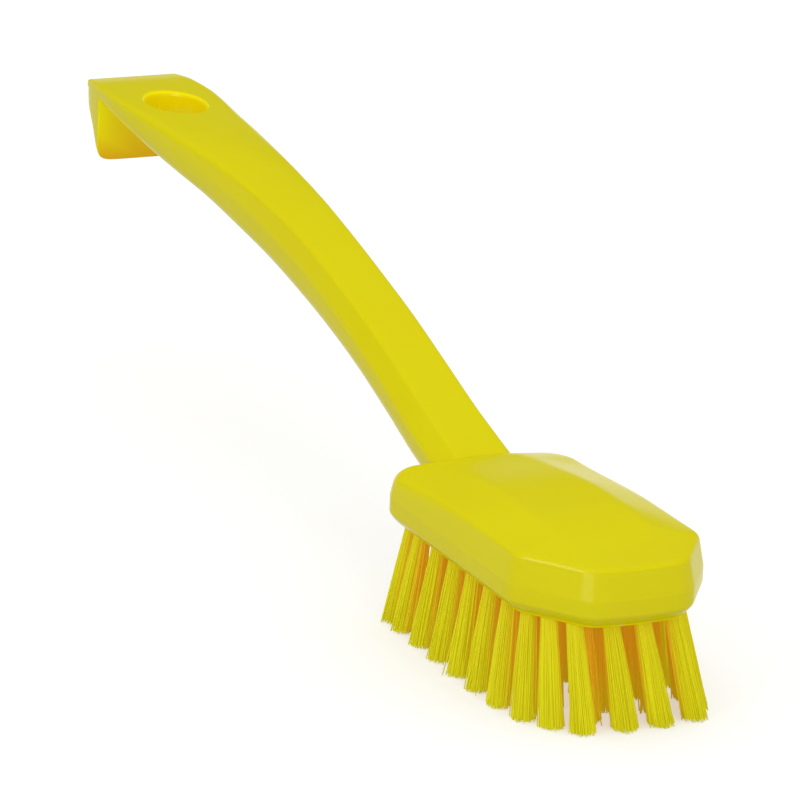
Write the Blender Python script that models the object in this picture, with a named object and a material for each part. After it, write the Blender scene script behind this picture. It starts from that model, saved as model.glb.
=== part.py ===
"""Scrub brush with a long arched handle: one moulding carries tufts of bristle in blind holes.

X runs along the brush towards the nose, Y across it and Z up, in metres. The bristle tips stand on Z = 0,
and the origin lies under the middle of the whole brush. The block and the handle are one moulding, with a
hanging hole through the handle's eye and a lip under its end that hooks over a rim. Each tuft is a plug of
folded filaments in its own hole, with strands that fan out to the tips.
"""
import math

import bmesh
import bpy
import numpy as np
from mathutils import Matrix

# Whole brush
LENGTH = 0.415
HEIGHT = 0.105

# Block
BLOCK_LENGTH = 0.1205
BLOCK_WIDTH = 0.065
BLOCK_EDGE_HEIGHT = 0.0185
BLOCK_CROWN = 0.0042
NOSE_WIDTH = 0.0336
NOSE_BULGE = 0.0016
REAR_BULGE = 0.0026
NOSE_TAPER_LENGTH = 0.0222
NOSE_CORNER_RADIUS = 0.0085
SHOULDER_CORNER_RADIUS = 0.012
REAR_CORNER_RADIUS = 0.0108
REAR_RIM_CORNER_RADIUS = 0.0112
RIDGE_CORNER_RADIUS = 0.006
RIDGE_INSET = 0.0145
RIDGE_REAR_REACH = 0.007
RIDGE_REAR_NARROWING_SHARE = 0.25
SMALLEST_CORNER_RADIUS = 0.001
CROWN_RUN = 0.050
REAR_CROWN_RUN = 0.055
REAR_CROWN_SHARE = 0.24
# Wall of the block from its underside to its rim: inset from the widest outline, and height
CHAMFER_INSET = 0.0039
CHAMFER_HEIGHT = 0.0044
RIM_INSET = 0.0021
RIM_ROUNDING = 0.0012
# The rim's tight edge at the nose turns into a wide rounding at the rear
REAR_RIM_INSET = 0.0027
REAR_RIM_DROP = 0.0056
RIM_TURN_START = 0.055
RIM_TURN_RUN = 0.055
WALL_SHARES = (
    # share of the chamfer's inset, share of the chamfer's height
    (1.0, 0.0),
    (0.45, 0.42),
    (0.08, 0.84),
    (0.0, 1.0),
)
RIM_SHARES = (
    # nose: shares of the rounding still to come, inwards and upwards; rear: shares of its inset and drop
    (1.00, 1.00, 0.24, 1.00),
    (0.33, 0.25, 0.50, 0.64),
    (0.00, 0.00, 1.00, 0.38),
)
CORNER_STEPS = 6
NOSE_STEPS = 4
TAPER_STEPS = 2
SIDE_STEPS = 9
REAR_STEPS = 3

# Handle
EYE_WIDTH = 0.0402
HANDLE_DEPTH = 0.024
HANDLE_FLARE = 0.005
HANDLE_CROWN = 0.0015
ROOT_TOP = 0.0497
ROOT_INSET = 0.0195
HANDLE_SHOULDER_SHARE = 0.35
HANDLE_RINGS = 30
# Shares of the handle's run, half the eye's width, rise, depth, flare and crown
HANDLE_SHARES = (
    (0.000, 0.460, 0.000, 0.520, 1.00, 0.00),
    (0.042, 0.446, 0.081, 0.726, 1.00, 0.00),
    (0.111, 0.435, 0.202, 0.842, 0.90, 0.00),
    (0.191, 0.431, 0.360, 0.864, 0.76, 0.00),
    (0.269, 0.438, 0.504, 0.844, 0.68, 0.10),
    (0.349, 0.448, 0.629, 0.838, 0.60, 0.20),
    (0.429, 0.467, 0.741, 0.848, 0.55, 0.35),
    (0.507, 0.517, 0.826, 0.814, 0.49, 0.52),
    (0.587, 0.590, 0.886, 0.761, 0.40, 0.76),
    (0.667, 0.683, 0.932, 0.688, 0.30, 0.99),
    (0.736, 0.787, 0.956, 0.624, 0.20, 0.85),
    (0.809, 0.878, 0.975, 0.532, 0.10, 0.60),
    (0.873, 0.948, 0.990, 0.411, 0.04, 0.30),
    (0.921, 0.973, 0.997, 0.290, 0.00, 0.08),
    (0.949, 0.954, 1.000, 0.250, 0.00, 0.00),
    (0.976, 0.922, 0.998, 0.220, 0.00, 0.00),
    (1.000, 0.866, 0.988, 0.180, 0.00, 0.00),
)
ROOT_ROUNDNESS = 2.6
EYE_ROUNDNESS = 5.2
SECTION_SIDE_STEPS = 2
# Share of half the top's width at which each of its points lies
SECTION_TOP_SHARES = (0.125, 0.25, 0.5, 0.75)
SECTION_LOWER_STEPS = 12

# Lip under the end of the handle
LIP_LENGTH = 0.0162
LIP_DROP = 0.0274
LIP_SEAT = 0.002
LIP_END_INSET = 0.0003
LIP_ROOT_WIDTH = 0.0372
LIP_END_WIDTH = 0.0344
# Share of the lip's length from its inner face, of its drop and of its half width
LIP_SHARES = (
    (0.00, 1.00, 1.000),
    (0.12, 0.96, 1.000),
    (0.43, 0.68, 1.000),
    (0.86, 0.44, 1.000),
    (0.97, 0.26, 0.992),
    (1.00, 0.16, 0.975),
)
LIP_ROUNDNESS = 5.0

# Hanging hole through the eye
HOLE_LENGTH = 0.032
HOLE_WIDTH = 0.021
HOLE_FROM_END = 0.043
HOLE_SIDES = 24

# Tufts
BRISTLE_LENGTH = 0.034
TUFT_HOLE_DIAMETER = 0.005
TUFT_HOLE_DEPTH = 0.0115
TUFT_SIDES = 8
PLUG_CLEARANCE = 0.0003
PLUG_STAND_OUT = 0.0004
STRANDS_ROUND = 8
STRAND_SIDES = 3
STRAND_ROOT_RADIUS = 0.00044
STRAND_TIP_RADIUS = 0.00072
STRAND_ROOT_RING = 0.0015
STRAND_TIP_RING = 0.0028
STRAND_SEAT = 0.0012
TUFT_EDGE_INSET = 0.008
TUFT_FAN_ALONG_SHARE = 0.10
TUFT_FAN_ACROSS_SHARE = 0.14
# Sideways set of the tips of the tufts at the nose, and the run over which it dies out
NOSE_SWEEP = 0.0078
NOSE_SWEEP_RUN = 0.035
# Distance of the first and of the last tuft from the block's ends
NOSE_TUFT_START = 0.0115
REAR_TUFT_START = 0.009
# Rows of tufts: share of half the field's width, pitches behind the first tuft, and how many in the row
TUFT_ROW_SHARES = (
    (0.21, 0.00, 1),
    (0.66, 0.12, 1),
    (0.86, 0.66, 1),
    (0.97, 1.30, 1),
    (1.00, 2.20, 6),
    (0.97, 7.85, 1),
    (0.40, 0.72, 1),
    (0.52, 1.70, 7),
    (0.00, 1.20, 7),
    (0.00, 8.00, 1),
)
CUT_OVERRUN = 0.002

# Places that follow
NOSE_X = LENGTH / 2
END_X = -LENGTH / 2
BLOCK_BOTTOM = BRISTLE_LENGTH
BLOCK_RIM = BLOCK_BOTTOM + BLOCK_EDGE_HEIGHT
ROOT_X = NOSE_X - BLOCK_LENGTH + ROOT_INSET
LIP_X = END_X + LIP_LENGTH
TUFT_FIELD_HALF_WIDTH = BLOCK_WIDTH / 2 - TUFT_EDGE_INSET
TUFT_FIELD_PITCHES = max(behind + count - 1 for _, behind, count in TUFT_ROW_SHARES)
TUFT_PITCH = (BLOCK_LENGTH - NOSE_TUFT_START - REAR_TUFT_START) / TUFT_FIELD_PITCHES


def clear_scene():
    """Remove every object, mesh and material that the file holds."""
    for item in list(bpy.data.objects):
        bpy.data.objects.remove(item, do_unlink=True)
    for store in (bpy.data.meshes, bpy.data.materials, bpy.data.curves):
        for item in list(store):
            store.remove(item)


def make_collection(name):
    """A new collection in the scene."""
    collection = bpy.data.collections.new(name)
    bpy.context.scene.collection.children.link(collection)
    return collection


def yellow_polypropylene():
    """Opaque yellow of the moulding, with the sheen of moulded polypropylene."""
    return principled("yellow_polypropylene", (0.66, 0.60, 0.012, 1.0), 0.32)


def yellow_polyester():
    """Yellow polyester filament, a little deeper and duller than the moulding."""
    return principled("yellow_polyester", (0.60, 0.53, 0.010, 1.0), 0.45)


def principled(name, colour, roughness):
    """A plain Principled material."""
    material = bpy.data.materials.new(name)
    material.use_nodes = True
    shader = material.node_tree.nodes["Principled BSDF"]
    shader.inputs["Base Color"].default_value = colour
    shader.inputs["Roughness"].default_value = roughness
    shader.inputs["Metallic"].default_value = 0.0
    material.diffuse_color = colour
    return material


def object_from(name, bm, collection, material=None, location=(0.0, 0.0, 0.0)):
    """Turn a bmesh into a named object, its faces facing out."""
    bmesh.ops.recalc_face_normals(bm, faces=bm.faces)
    mesh = bpy.data.meshes.new(name)
    bm.to_mesh(mesh)
    bm.free()
    item = bpy.data.objects.new(name, mesh)
    item.location = location
    if material:
        mesh.materials.append(material)
    collection.objects.link(item)
    return item


def as_cutter(item):
    """Keep a cutting or joining shape out of the finished model."""
    item.hide_render = True
    item.display_type = "WIRE"
    return item


def add_boolean(item, operation, other):
    """Cut an object by another, or join the two."""
    modifier = item.modifiers.new(operation.lower() + "_" + other.name, "BOOLEAN")
    modifier.operation = operation
    modifier.solver = "EXACT"
    modifier.object = other


def smooth_between(places, values, wanted):
    """Cubic curve through the values at the given places, read where wanted."""
    places, values = np.asarray(places), np.asarray(values)
    slopes = np.gradient(values, places)
    index = np.clip(np.searchsorted(places, wanted, side="right") - 1, 0, len(places) - 2)
    span = places[index + 1] - places[index]
    t = (wanted - places[index]) / span
    return (
        (2 * t**3 - 3 * t**2 + 1) * values[index]
        + (t**3 - 2 * t**2 + t) * span * slopes[index]
        + (3 * t**2 - 2 * t**3) * values[index + 1]
        + (t**3 - t**2) * span * slopes[index + 1]
    )


def ease(t):
    """Smooth step from 0 to 1."""
    t = min(max(t, 0.0), 1.0)
    return t * t * (3 - 2 * t)


def loft(rings, flat_end=True):
    """Closed skin through rings of equally many points.

    A flat end is one face. Any other end is closed by strips from one side to the other: its ring is
    symmetric about Y = 0, so point i and the point as far from the ring's end are a pair.
    """
    bm = bmesh.new()
    rows = [[bm.verts.new(point) for point in ring] for ring in rings]
    count = len(rows[0])
    for low, high in zip(rows, rows[1:]):
        for i in range(count):
            j = (i + 1) % count
            bm.faces.new((low[i], low[j], high[j], high[i]))
    bm.faces.new(rows[0])
    last = rows[-1]
    if flat_end:
        bm.faces.new(last)
    else:
        for i in range(count // 2 - 1):
            bm.faces.new((last[i], last[i + 1], last[count - 2 - i], last[count - 1 - i]))
    return bm


def offset_corners(inset, rear_radius):
    """Corners of half the block's outline, nose to rear, moved in by the inset, with their radii."""
    half = BLOCK_WIDTH / 2
    rear = NOSE_X - BLOCK_LENGTH
    taper = math.atan2(half - NOSE_WIDTH / 2, NOSE_TAPER_LENGTH)
    nose_shift = inset * math.tan((math.pi / 2 - taper) / 2)
    shoulder_shift = inset * math.tan(taper / 2)
    return (
        (NOSE_X - inset, NOSE_WIDTH / 2 - nose_shift, NOSE_CORNER_RADIUS),
        (NOSE_X - NOSE_TAPER_LENGTH - shoulder_shift, half - inset, SHOULDER_CORNER_RADIUS),
        (rear + inset, half - inset, rear_radius),
    )


def rounded_corner(before, corner, after, radius):
    """Points of an arc that rounds the corner between its neighbours."""
    corner = np.array(corner)
    to_before = np.array(before) - corner
    to_after = np.array(after) - corner
    to_before /= np.linalg.norm(to_before)
    to_after /= np.linalg.norm(to_after)
    half_angle = math.acos(float(np.clip(to_before @ to_after, -1.0, 1.0))) / 2
    reach = radius / math.tan(half_angle)
    middle = to_before + to_after
    centre = corner + middle / np.linalg.norm(middle) * radius / math.sin(half_angle)
    first = corner + to_before * reach - centre
    last = corner + to_after * reach - centre
    turn = math.atan2(first[0] * last[1] - first[1] * last[0], float(first @ last))
    points = []
    for step in range(CORNER_STEPS + 1):
        angle = turn * step / CORNER_STEPS
        cos, sin = math.cos(angle), math.sin(angle)
        points.append(centre + (first[0] * cos - first[1] * sin, first[0] * sin + first[1] * cos))
    return points


def between(start, end, steps):
    """Points strictly between two others."""
    return [start + (end - start) * step / steps for step in range(1, steps)]


def block_outline(inset, rear_radius=REAR_CORNER_RADIUS):
    """The block's outline seen from above, moved in by the inset: an octagon with rounded corners."""
    corners = offset_corners(inset, rear_radius)
    nose = np.array((corners[0][0], 0.0))
    rear = np.array((corners[-1][0], 0.0))
    path = [nose] + [np.array(corner[:2]) for corner in corners] + [rear]
    arcs = []
    for i, corner in enumerate(corners):
        radius = max(corner[2] - inset, SMALLEST_CORNER_RADIUS)
        arcs.append(rounded_corner(path[i], path[i + 1], path[i + 2], radius))
    ends = [arc[0] for arc in arcs] + [rear]
    half = between(nose, ends[0], NOSE_STEPS)
    for arc, end, steps in zip(arcs, ends[1:], (TAPER_STEPS, SIDE_STEPS, REAR_STEPS)):
        half.extend(arc)
        half.extend(between(arc[-1], end, steps))
    middle = NOSE_X - BLOCK_LENGTH / 2
    for point in half:
        if point[0] > middle:
            point[0] -= NOSE_BULGE * min(point[1] / corners[0][1], 1.0) ** 2
        else:
            point[0] += REAR_BULGE * (point[1] / corners[-1][1]) ** 2
    return half + [np.array((point[0], -point[1])) for point in reversed(half)]


def crown(x):
    """Height of the block's ridge over its rim at a place along it."""
    front = ease((NOSE_X - x) / CROWN_RUN)
    rear = ease((x - (NOSE_X - BLOCK_LENGTH)) / REAR_CROWN_RUN)
    return BLOCK_CROWN * front * (REAR_CROWN_SHARE + (1 - REAR_CROWN_SHARE) * rear)


def rear_share(x):
    """How far a place along the block has turned from the nose's form to the rear's, from 0 to 1."""
    return ease((NOSE_X - RIM_TURN_START - x) / RIM_TURN_RUN)


def block_levels():
    """Inset, height and rear radius of each level of the block's wall, at the nose and at the rear."""
    levels = []
    for inset_share, height_share in WALL_SHARES:
        height = BLOCK_BOTTOM + CHAMFER_HEIGHT * height_share
        level = (CHAMFER_INSET * inset_share, height, REAR_CORNER_RADIUS)
        levels.append((level, level))
    for inwards, upwards, rear_inset, rear_drop in RIM_SHARES:
        nose = (RIM_INSET - RIM_ROUNDING * inwards, BLOCK_RIM - RIM_ROUNDING * upwards)
        rear_radius = REAR_CORNER_RADIUS + (REAR_RIM_CORNER_RADIUS - REAR_CORNER_RADIUS) * rear_inset
        rear = (REAR_RIM_INSET * rear_inset, BLOCK_RIM - REAR_RIM_DROP * rear_drop, rear_radius)
        levels.append((nose, rear))
    return levels


def wall_ring(nose, rear):
    """One ring of the block's wall, from its inset, height and rear radius at the nose to those at the rear."""
    ring = []
    for start, end in zip(block_outline(nose[0]), block_outline(rear[0], rear[2])):
        share = rear_share(start[0])
        x, y = start + (end - start) * share
        ring.append((x, y, nose[1] + (rear[1] - nose[1]) * share))
    return ring


def ridge_ring():
    """The outline of the block's ridge, which reaches back to the handle's root and narrows towards it."""
    ring = []
    inset = RIM_INSET + RIDGE_INSET
    for x, y in block_outline(inset, RIDGE_CORNER_RADIUS + inset):
        share = rear_share(x)
        place = x - RIDGE_REAR_REACH * share
        ring.append((place, y * (1 - RIDGE_REAR_NARROWING_SHARE * share), BLOCK_RIM + crown(place)))
    return ring


def block_body(collection, material):
    """The block: a drafted wall on an octagonal outline, with a ridge that rises inside its rim."""
    rings = [wall_ring(nose, rear) for nose, rear in block_levels()]
    rings.append(ridge_ring())
    return object_from("block_and_handle", loft(rings, flat_end=False), collection, material)


def handle_section(x, half_width, top, depth, flare, rise, roundness):
    """One section across the handle: a crowned top between two edges, flared sides and a round belly."""
    shoulder = depth * HANDLE_SHOULDER_SHARE
    half = []
    for share in SECTION_TOP_SHARES:
        half.append((half_width * share, top + rise * (1 - share**2)))
    for step in range(SECTION_SIDE_STEPS):
        share = step / SECTION_SIDE_STEPS
        half.append((half_width + flare * share, top - shoulder * share))
    for step in range(SECTION_LOWER_STEPS):
        angle = math.pi / 2 * step / SECTION_LOWER_STEPS
        across = (half_width + flare) * math.cos(angle) ** (2 / roundness)
        down = shoulder + (depth - shoulder) * math.sin(angle) ** (2 / roundness)
        half.append((across, top - down))
    ring = [(x, y, z) for y, z in half]
    return ring + [(x, -y, z) for x, y, z in reversed(ring)]


def handle_stations():
    """Sizes of each section of the handle from its root in the block to its end."""
    shares = np.array(HANDLE_SHARES)
    along = np.linspace(0.0, 1.0, HANDLE_RINGS)
    width, rise, depth, flare, top_crown = (
        smooth_between(shares[:, 0], shares[:, i], along) for i in range(1, shares.shape[1])
    )
    stations = []
    for i, share in enumerate(along):
        stations.append(
            (
                ROOT_X - (ROOT_X - END_X) * share,
                EYE_WIDTH / 2 * width[i],
                ROOT_TOP + (HEIGHT - ROOT_TOP) * rise[i],
                HANDLE_DEPTH * depth[i],
                HANDLE_FLARE * flare[i],
                HANDLE_CROWN * top_crown[i],
                ROOT_ROUNDNESS + (EYE_ROUNDNESS - ROOT_ROUNDNESS) * share**2,
            )
        )
    return stations


def handle_body(collection):
    """The handle, lofted through its sections."""
    rings = [handle_section(*station) for station in handle_stations()]
    return object_from("handle_form", loft(rings), collection)


def lip_body(collection):
    """The lip under the end of the handle: its inner face is flat and upright, its outer face slopes in."""
    rings = []
    for along, drop, width in LIP_SHARES:
        x = LIP_X + (END_X + LIP_END_INSET - LIP_X) * along
        full_width = LIP_ROOT_WIDTH + (LIP_END_WIDTH - LIP_ROOT_WIDTH) * along
        depth = LIP_DROP * drop - LIP_SEAT
        half_width = full_width / 2 * width
        rings.append(handle_section(x, half_width, HEIGHT - LIP_SEAT, depth, 0.0, 0.0, LIP_ROUNDNESS))
    return object_from("lip_form", loft(rings), collection)


def cylinder_along_z(bm, sides, low_radius, high_radius, low, high, shift_low=(0, 0), shift_high=(0, 0)):
    """A round shape whose flat ends stay level while its axis leans from one shift to the other."""
    depth = high - low
    lean_x = (shift_high[0] - shift_low[0]) / depth
    lean_y = (shift_high[1] - shift_low[1]) / depth
    lean = Matrix(
        (
            (1.0, 0.0, lean_x, (shift_low[0] + shift_high[0]) / 2),
            (0.0, 1.0, lean_y, (shift_low[1] + shift_high[1]) / 2),
            (0.0, 0.0, 1.0, (low + high) / 2),
            (0.0, 0.0, 0.0, 1.0),
        )
    )
    bmesh.ops.create_cone(
        bm,
        cap_ends=True,
        segments=sides,
        radius1=low_radius,
        radius2=high_radius,
        depth=depth,
        matrix=lean,
    )


def hanging_hole(collection):
    """Cutter for the oval hanging hole."""
    bm = bmesh.new()
    radius = HOLE_LENGTH / 2
    cylinder_along_z(bm, HOLE_SIDES, radius, radius, HEIGHT - LIP_DROP, HEIGHT + CUT_OVERRUN)
    squeeze = Matrix.Diagonal((1.0, HOLE_WIDTH / HOLE_LENGTH, 1.0, 1.0))
    bmesh.ops.transform(bm, matrix=squeeze, verts=bm.verts)
    place = (END_X + HOLE_FROM_END, 0.0, 0.0)
    return as_cutter(object_from("hanging_hole", bm, collection, location=place))


def tuft_places():
    """Place of each tuft's root on the block's underside, as a list of X and Y from the nose back."""
    first = NOSE_X - NOSE_TUFT_START
    places = []
    for across, behind, count in TUFT_ROW_SHARES:
        sides = (-1, 1) if across else (1,)
        for i in range(count):
            x = first - (behind + i) * TUFT_PITCH
            places += [(x, side * across * TUFT_FIELD_HALF_WIDTH) for side in sides]
    return sorted(places, key=lambda place: (-round(place[0], 6), place[1]))


def tuft_lean(place):
    """How far a tuft's axis moves outwards for each metre that it goes down."""
    middle = NOSE_X - BLOCK_LENGTH / 2
    along = (place[0] - middle) * TUFT_FAN_ALONG_SHARE / BRISTLE_LENGTH
    sweep = NOSE_SWEEP * max(1 - (NOSE_X - place[0]) / NOSE_SWEEP_RUN, 0.0)
    across = (place[1] * TUFT_FAN_ACROSS_SHARE + sweep) / BRISTLE_LENGTH
    return along, across


def shift_at(lean, height):
    """Sideways shift of a tuft's axis at a height, from its place at the block's underside."""
    return lean[0] * (BLOCK_BOTTOM - height), lean[1] * (BLOCK_BOTTOM - height)


def tuft_holes(collection, places):
    """Cutter for all the blind holes."""
    bm = bmesh.new()
    low = BLOCK_BOTTOM - CUT_OVERRUN
    high = BLOCK_BOTTOM + TUFT_HOLE_DEPTH
    radius = TUFT_HOLE_DIAMETER / 2
    for place in places:
        lean = tuft_lean(place)
        ends = [
            tuple(place[axis] + shift_at(lean, height)[axis] for axis in range(2)) for height in (low, high)
        ]
        cylinder_along_z(bm, TUFT_SIDES, radius, radius, low, high, *ends)
    return as_cutter(object_from("tuft_holes", bm, collection))


def strand(bm, lean, angle, root_ring, tip_ring):
    """One strand, from inside the plug to its flat tip on the ground."""
    direction = (math.cos(angle), math.sin(angle))
    high = BLOCK_BOTTOM - PLUG_STAND_OUT + STRAND_SEAT
    ends = []
    for height, ring in ((0.0, tip_ring), (high, root_ring)):
        shift = shift_at(lean, height)
        ends.append((shift[0] + direction[0] * ring, shift[1] + direction[1] * ring))
    cylinder_along_z(bm, STRAND_SIDES, STRAND_TIP_RADIUS, STRAND_ROOT_RADIUS, 0.0, high, *ends)


def tuft(name, place, parts, tools, material):
    """A tuft: the plug that fills its hole, and the strands that fan out from it."""
    lean = tuft_lean(place)
    low = BLOCK_BOTTOM - PLUG_STAND_OUT
    high = BLOCK_BOTTOM + TUFT_HOLE_DEPTH - PLUG_CLEARANCE
    radius = TUFT_HOLE_DIAMETER / 2 - PLUG_CLEARANCE
    bm = bmesh.new()
    cylinder_along_z(bm, TUFT_SIDES, radius, radius, low, high, shift_at(lean, low), shift_at(lean, high))
    item = object_from(name, bm, parts, material, location=(place[0], place[1], 0.0))
    bm = bmesh.new()
    strand(bm, lean, 0.0, 0.0, 0.0)
    for i in range(STRANDS_ROUND):
        strand(bm, lean, 2 * math.pi * i / STRANDS_ROUND, STRAND_ROOT_RING, STRAND_TIP_RING)
    strands = as_cutter(object_from(name + "_strands", bm, tools, location=(place[0], place[1], 0.0)))
    add_boolean(item, "UNION", strands)
    return item


def main():
    """Build the brush."""
    clear_scene()
    parts = make_collection("scrub_brush")
    tools = make_collection("forming_tools")
    moulding = yellow_polypropylene()
    filament = yellow_polyester()
    places = tuft_places()
    body = block_body(parts, moulding)
    add_boolean(body, "UNION", as_cutter(handle_body(tools)))
    add_boolean(body, "UNION", as_cutter(lip_body(tools)))
    add_boolean(body, "DIFFERENCE", hanging_hole(tools))
    add_boolean(body, "DIFFERENCE", tuft_holes(tools, places))
    for number, place in enumerate(places, 1):
        tuft("tuft_%02d" % number, place, parts, tools, filament)


main()
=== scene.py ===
"""Looks of the long-handled scrub brush: its glossy moulding, its fine bristle and a pale studio.

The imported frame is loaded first, and every piece is worked out in its metres, with +X towards the nose of
the brush and the bristle tips on Z = 0. Run it as a script, or open it in the text editor and run it there.
"""
import math

import bmesh
import bpy
import numpy as np
from mathutils import Matrix, Vector


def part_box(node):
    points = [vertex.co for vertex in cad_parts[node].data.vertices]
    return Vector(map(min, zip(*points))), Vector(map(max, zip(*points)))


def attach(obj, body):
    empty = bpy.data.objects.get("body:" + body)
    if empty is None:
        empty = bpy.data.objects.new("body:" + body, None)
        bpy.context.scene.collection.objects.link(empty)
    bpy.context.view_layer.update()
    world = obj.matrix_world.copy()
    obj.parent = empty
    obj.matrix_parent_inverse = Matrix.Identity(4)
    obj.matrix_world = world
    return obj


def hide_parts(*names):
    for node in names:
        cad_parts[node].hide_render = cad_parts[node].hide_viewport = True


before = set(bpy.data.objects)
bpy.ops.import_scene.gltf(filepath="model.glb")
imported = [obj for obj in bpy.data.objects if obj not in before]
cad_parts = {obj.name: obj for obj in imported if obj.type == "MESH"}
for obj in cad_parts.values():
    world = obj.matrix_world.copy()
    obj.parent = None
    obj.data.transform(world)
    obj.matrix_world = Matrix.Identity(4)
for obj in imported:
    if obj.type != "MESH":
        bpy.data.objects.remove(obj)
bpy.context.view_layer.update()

bl_info = {
    "name": "Scrub brush",
    "version": (1, 0, 0),
    "blender": (4, 5, 0),
    "location": "3D View > Sidebar > Brush",
    "description": "Makes the moulding, the bristle and the studio of a long-handled scrub brush",
    "category": "Object",
}

MOULDING_NODE = "block_and_handle"
TUFT_NODES = sorted(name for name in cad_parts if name.startswith("tuft_"))
BODY_LOW, BODY_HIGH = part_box(MOULDING_NODE)
# The handle's end and the nose, and the block's underside and the handle's top
END_X, NOSE_X, BOTTOM_Z, TOP_Z = BODY_LOW[0], BODY_HIGH[0], BODY_LOW[2], BODY_HIGH[2]

# Shares of the handle's run, half the eye's width, rise, depth, flare and crown
HANDLE_SHARES = np.array((
    (0.000, 0.460, 0.000, 0.520, 1.00, 0.00),
    (0.042, 0.446, 0.081, 0.726, 1.00, 0.00),
    (0.111, 0.435, 0.202, 0.842, 0.90, 0.00),
    (0.191, 0.431, 0.360, 0.864, 0.76, 0.00),
    (0.269, 0.438, 0.504, 0.844, 0.68, 0.10),
    (0.349, 0.448, 0.629, 0.838, 0.60, 0.20),
    (0.429, 0.467, 0.741, 0.848, 0.55, 0.35),
    (0.507, 0.517, 0.826, 0.814, 0.49, 0.52),
    (0.587, 0.590, 0.886, 0.761, 0.40, 0.76),
    (0.667, 0.683, 0.932, 0.688, 0.30, 0.99),
    (0.736, 0.787, 0.956, 0.624, 0.20, 0.85),
    (0.809, 0.878, 0.975, 0.532, 0.10, 0.60),
    (0.873, 0.948, 0.990, 0.411, 0.04, 0.30),
    (0.921, 0.973, 0.997, 0.290, 0.00, 0.08),
    (0.949, 0.954, 1.000, 0.250, 0.00, 0.00),
    (0.976, 0.922, 0.998, 0.220, 0.00, 0.00),
    (1.000, 0.866, 0.988, 0.180, 0.00, 0.00),
))
# Share of the lip's length from its inner face, of its drop and of its half width
LIP_SHARES = np.array((
    (0.00, 1.00, 1.000),
    (0.12, 0.96, 1.000),
    (0.43, 0.68, 1.000),
    (0.86, 0.44, 1.000),
    (0.97, 0.26, 0.992),
    (1.00, 0.16, 0.975),
))
# Share of the chamfer's inset and of its height
CHAMFER_SHARES = ((1.0, 0.0), (0.45, 0.42), (0.08, 0.84), (0.0, 1.0))
# At the nose: shares of the rounding still to come, inwards and upwards; at the rear: of its inset and drop
RIM_SHARES = ((1.00, 1.00, 0.24, 1.00), (0.33, 0.25, 0.50, 0.64), (0.00, 0.00, 1.00, 0.38))
# Rows of tufts: share of half the field's width, pitches behind the first tuft, and how many in the row
TUFT_ROW_SHARES = (
    (0.21, 0.00, 1),
    (0.66, 0.12, 1),
    (0.86, 0.66, 1),
    (0.97, 1.30, 1),
    (1.00, 2.20, 6),
    (0.97, 7.85, 1),
    (0.40, 0.72, 1),
    (0.52, 1.70, 7),
    (0.00, 1.20, 7),
    (0.00, 8.00, 1),
)

# Steps on half the nose, on the outline's three arcs and on the straights behind them
NOSE_STEPS, ARC_STEPS, STRAIGHT_STEPS = 12, (20, 16, 18), (6, 34, 16)
SMALLEST_RADIUS = 0.001
# The bow of each end comes in over a fifth of the block's length, from the block's middle
BOW_PART = 5
# Where behind the nose the rim starts to turn into its shape at the rear, and over what run
RIM_TURN = (0.055, 0.055)
REAR_CROWN_SHARE = 0.24
RIDGE_REACH, RIDGE_NARROWING, RIDGE_FLAT = 0.007, 0.25, 0.004
# Reach of a full rounding and of the parting line's, and the share of the way that one may take
FULL_REACH, PARTING_REACH, MOST_REACH_SHARE = 0.01, 0.0004, 0.46

ROOT_INSET, SHOULDER_SHARE = 0.0195, 0.35
ROOT_ROUNDNESS, ADDED_ROUNDNESS = 2.6, 2.6
# Start and run of the changes in the handle's edges, in shares of its length
GRIP_TURN, EYE_TURN = (0.55, 0.2), (0.80, 0.12)
HANDLE_SECTIONS, LIP_SECTIONS, SECTION_SIDES, FINE_POINTS = 200, 40, 112, 1024
TOP_POINTS, FLANK_POINTS, BELLY_POINTS = 40, 24, 80
LIP_SEAT, LIP_END_INSET, LIP_SIDE_INSET = 0.002, 0.0003, 0.00002
LIP_ROUNDNESS, LIP_CORNER, LIP_ROUNDING_SHARE, LIP_BLUR = 9.0, 0.0006, 0.6, 5

# The hanging hole's cutter; its rounding starts where the surface lies, a little way round the circle
CUT_OVERRUN, HOLE_CUT_DEPTH, ROUNDING_START, ROUNDING_ROWS, HOLE_SIDES = 0.004, 0.026, 0.25, 8, 96
# Height over the block's underside and radius, below and at the mouth of a tuft's hole
TUFT_MOUTH = ((-0.002, 0.00295), (0.0, 0.00275))
TUFT_MOUTH_DEPTH, TUFT_HOLE_SIDES = 0.0004, 20
# Which tufts are in the outer ring, in shares of half the field's width
SPINE_INSET_SHARE, RING_SIDE_SHARE, RING_END_SHARE = 1.5, 0.8, 0.93

# One filament, and how much it differs from the next
FILAMENT_SIDES, FILAMENT_STEPS, GOLDEN_ANGLE, SEAT_DEPTH = 5, 5, 2.399963, 0.0022
MOST_TURN, STRAY_LIMIT = 6, 2
TIP_SHAKE, TIP_SPREAD, TIP_THINNING, FLARE_POWER = 0.00022, (0.88, 1.10), 0.12, 0.9
LOOSE_SHARE, MOST_RAGGED, BOW, THICKNESS_SPREAD = 0.05, 0.0025, 0.00018, (0.9, 1.08)
# Painted shade and bounce light inside a tuft, kept as its depth: its step from front to back, what is left at
# the tips, its rise, and more at the root
INSIDE_STEP, PAINTED_SHADE_AT_TIPS, RISE_STEP, PAINTED_SHADE_AT_ROOT = (0.30, 0.6), 0.45, (0.0, 0.6), 0.12
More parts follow.
